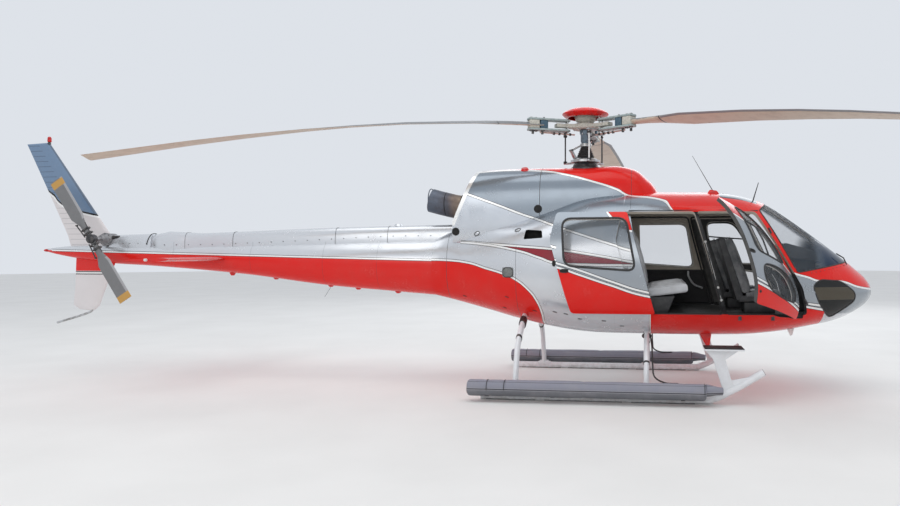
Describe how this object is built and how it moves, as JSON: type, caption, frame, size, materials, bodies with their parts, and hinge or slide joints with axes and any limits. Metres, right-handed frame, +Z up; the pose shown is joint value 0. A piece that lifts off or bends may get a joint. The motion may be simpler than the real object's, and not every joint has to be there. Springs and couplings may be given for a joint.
{
  "type": "light single-engine helicopter on skid landing gear",
  "caption": "Light helicopter with a glazed cabin, hinged front doors, sliding rear doors, three-blade main rotor, tail rotor, fins and skids with floats.",
  "frame": {"origin": "on the ground in the plane of symmetry, under the middle of the main rotor mast", "axes": "+X towards the nose, +Y to port, +Z up"},
  "size_m": [12.2088, 8.5106, 3.413],
  "materials": {
    "red_paint": "glossy signal red",
    "silver_paint": "metallic silver grey with white and black stripes",
    "white_paint": "glossy white",
    "clear_glass": "clear acrylic",
    "dark_glass": "tinted acrylic",
    "bare_metal": "machined and anodised",
    "burnt_metal": "heat-stained steel",
    "blade_grey": "satin grey",
    "float_fabric": "coated grey fabric cover",
    "seat_leather": "dark leather",
    "bench_fabric": "light grey leather",
    "black_plastic": "matt black"
  },
  "bodies": {
    "airframe": {"belly_floor": "silver_paint", "nose_shell": "red_paint", "chin_window_left": "dark_glass", "chin_window_right": "dark_glass", "roof_shell": "red_paint", "roof_window_left": "dark_glass", "roof_window_right": "dark_glass", "windshield_left": "clear_glass", "windshield_right": "clear_glass", "side_frame_left": "silver_paint", "side_frame_right": "silver_paint", "sliding_door_left": "red_paint", "sliding_door_right": "red_paint", "sliding_door_window_left": "clear_glass", "sliding_door_window_right": "clear_glass", "rear_body": "silver_paint", "gearbox_hood": "red_paint", "engine_hood": "silver_paint", "engine_block": "bare_metal", "exhaust": "burnt_metal", "tail_boom": "red_paint", "stabiliser": "white_paint", "shaft_cover": "silver_paint", "tail_gearbox": "bare_metal", "upper_fin": "silver_paint", "lower_fin": "white_paint", "swashplate_fixed": "bare_metal", "belly_front_tube": "white_paint", "body_rear_tube": "white_paint", "skid_left": "white_paint", "skid_right": "white_paint", "float_left": "float_fabric", "float_right": "float_fabric", "front_seat_left": "seat_leather", "front_seat_right": "seat_leather", "rear_bench": "bench_fabric", "instrument_panel": "black_plastic"},
    "main_rotor": {"rotor_star": "bare_metal", "main_blade_1": "blade_grey", "main_blade_2": "blade_grey", "main_blade_3": "blade_grey", "rotor_cap": "red_paint", "rotor_mast": "bare_metal", "swashplate_turning": "bare_metal"},
    "tail_rotor_body": {"tail_rotor": "blade_grey"},
    "door_right": {"front_door_right": "silver_paint", "front_door_upper_window_right": "clear_glass", "front_door_lower_window_right": "clear_glass"},
    "door_left": {"front_door_left": "silver_paint", "front_door_upper_window_left": "clear_glass", "front_door_lower_window_left": "clear_glass"}
  },
  "joints": [
    {"name": "main_rotor_turn", "type": "hinge", "parent": "airframe", "child": "main_rotor", "pos_m": [0, 0, 3.18], "axis": [0, 0, -1], "continuous": true},
    {"name": "tail_rotor_turn", "type": "hinge", "parent": "airframe", "child": "tail_rotor_body", "pos_m": [-6.447, -0.338, 1.798], "axis": [0, 1, 0], "continuous": true},
    {"name": "front_door_right_swing", "type": "hinge", "parent": "airframe", "child": "door_right", "pos_m": [2.545, -0.905, 0.95], "axis": [-0.4282, 0.0899, 0.8992], "range_deg": [-52, 20]},
    {"name": "front_door_left_swing", "type": "hinge", "parent": "airframe", "child": "door_left", "pos_m": [2.545, 0.905, 0.95], "axis": [0.4282, 0.0899, -0.8992], "range_deg": [0, 72]}
  ]
}
